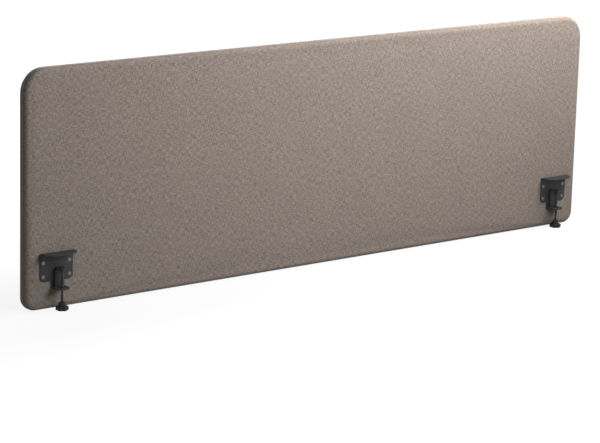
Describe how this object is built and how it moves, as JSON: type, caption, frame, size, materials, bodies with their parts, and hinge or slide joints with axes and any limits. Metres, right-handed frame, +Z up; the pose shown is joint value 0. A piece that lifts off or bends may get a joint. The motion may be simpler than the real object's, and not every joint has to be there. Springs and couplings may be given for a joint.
{
  "type": "desk privacy panel",
  "caption": "Fabric-covered acoustic privacy panel that clamps to a desk edge with bent steel brackets, screw-driven swivel pads and star knobs.",
  "frame": {"origin": "bottom centre of the whole object's box: on the floor plane that the panel stands on, mid-length, and midway between the panel's back face and the clamp foot's tip", "axes": "+Z up, +X along the panel's length to the right as seen from the desk side, and the desk side with its clamps faces -Y"},
  "size_m": [2, 0.08, 0.65],
  "materials": {
    "cover_fabric": "warm grey-brown melange woven upholstery cloth",
    "seam_tape": "woven closing tape in the cloth's colour",
    "wadding": "white needled polyester wadding",
    "acoustic_board": "grey pressed felt acoustic board",
    "frame_timber": "planed softwood",
    "block_timber": "beech",
    "bracket_paint": "fine matt black powder coat on steel",
    "bolt_steel": "bright zinc plate",
    "screw_steel": "black oxide steel",
    "insert_brass": "plain turned brass",
    "pad_paint": "black lacquer on turned steel",
    "pad_rubber": "black nitrile",
    "knob_plastic": "black glass-filled nylon, fine spark texture"
  },
  "bodies": {
    "panel": {"front_cover": "cover_fabric", "back_cover": "cover_fabric", "seam_tape": "seam_tape", "front_padding": "wadding", "back_padding": "wadding", "left_acoustic_core": "acoustic_board", "middle_acoustic_core": "acoustic_board", "right_acoustic_core": "acoustic_board", "frame_top_rail": "frame_timber", "frame_bottom_rail": "frame_timber", "frame_left_stile": "frame_timber", "frame_right_stile": "frame_timber", "frame_left_mullion": "frame_timber", "frame_right_mullion": "frame_timber", "frame_dowels": "block_timber", "left_mount_block": "block_timber", "left_threaded_inserts": "insert_brass", "left_bracket_plate": "bracket_paint", "left_stiffening_channel": "bracket_paint", "left_foot_nut": "bracket_paint", "left_bracket_bolts": "bolt_steel", "right_mount_block": "block_timber", "right_threaded_inserts": "insert_brass", "right_bracket_plate": "bracket_paint", "right_stiffening_channel": "bracket_paint", "right_foot_nut": "bracket_paint", "right_bracket_bolts": "bolt_steel"},
    "left_pad": {"left_pressure_pad": "pad_paint", "left_pad_facing": "pad_rubber"},
    "left_screw": {"left_clamp_screw": "screw_steel", "left_knob": "knob_plastic"},
    "right_pad": {"right_pressure_pad": "pad_paint", "right_pad_facing": "pad_rubber"},
    "right_screw": {"right_clamp_screw": "screw_steel", "right_knob": "knob_plastic"}
  },
  "joints": [
    {"name": "left_clamp_travel", "type": "slide", "parent": "panel", "child": "left_pad", "axis": [0, 0, 1], "range_m": [-0.037, 0.034]},
    {"name": "left_knob_turn", "type": "hinge", "parent": "left_pad", "child": "left_screw", "pos_m": [-0.9015, -0.021, 0.05], "axis": [0, 0, 1], "range_deg": [-13320, 12240]},
    {"name": "right_clamp_travel", "type": "slide", "parent": "panel", "child": "right_pad", "axis": [0, 0, 1], "range_m": [-0.037, 0.034]},
    {"name": "right_knob_turn", "type": "hinge", "parent": "right_pad", "child": "right_screw", "pos_m": [0.9015, -0.021, 0.05], "axis": [0, 0, 1], "range_deg": [-13320, 12240]}
  ],
  "couplings": [
    {"joint": "left_clamp_travel", "follows": "left_knob_turn", "m_per_rad": 0.00015915},
    {"joint": "right_clamp_travel", "follows": "right_knob_turn", "m_per_rad": 0.00015915}
  ]
}
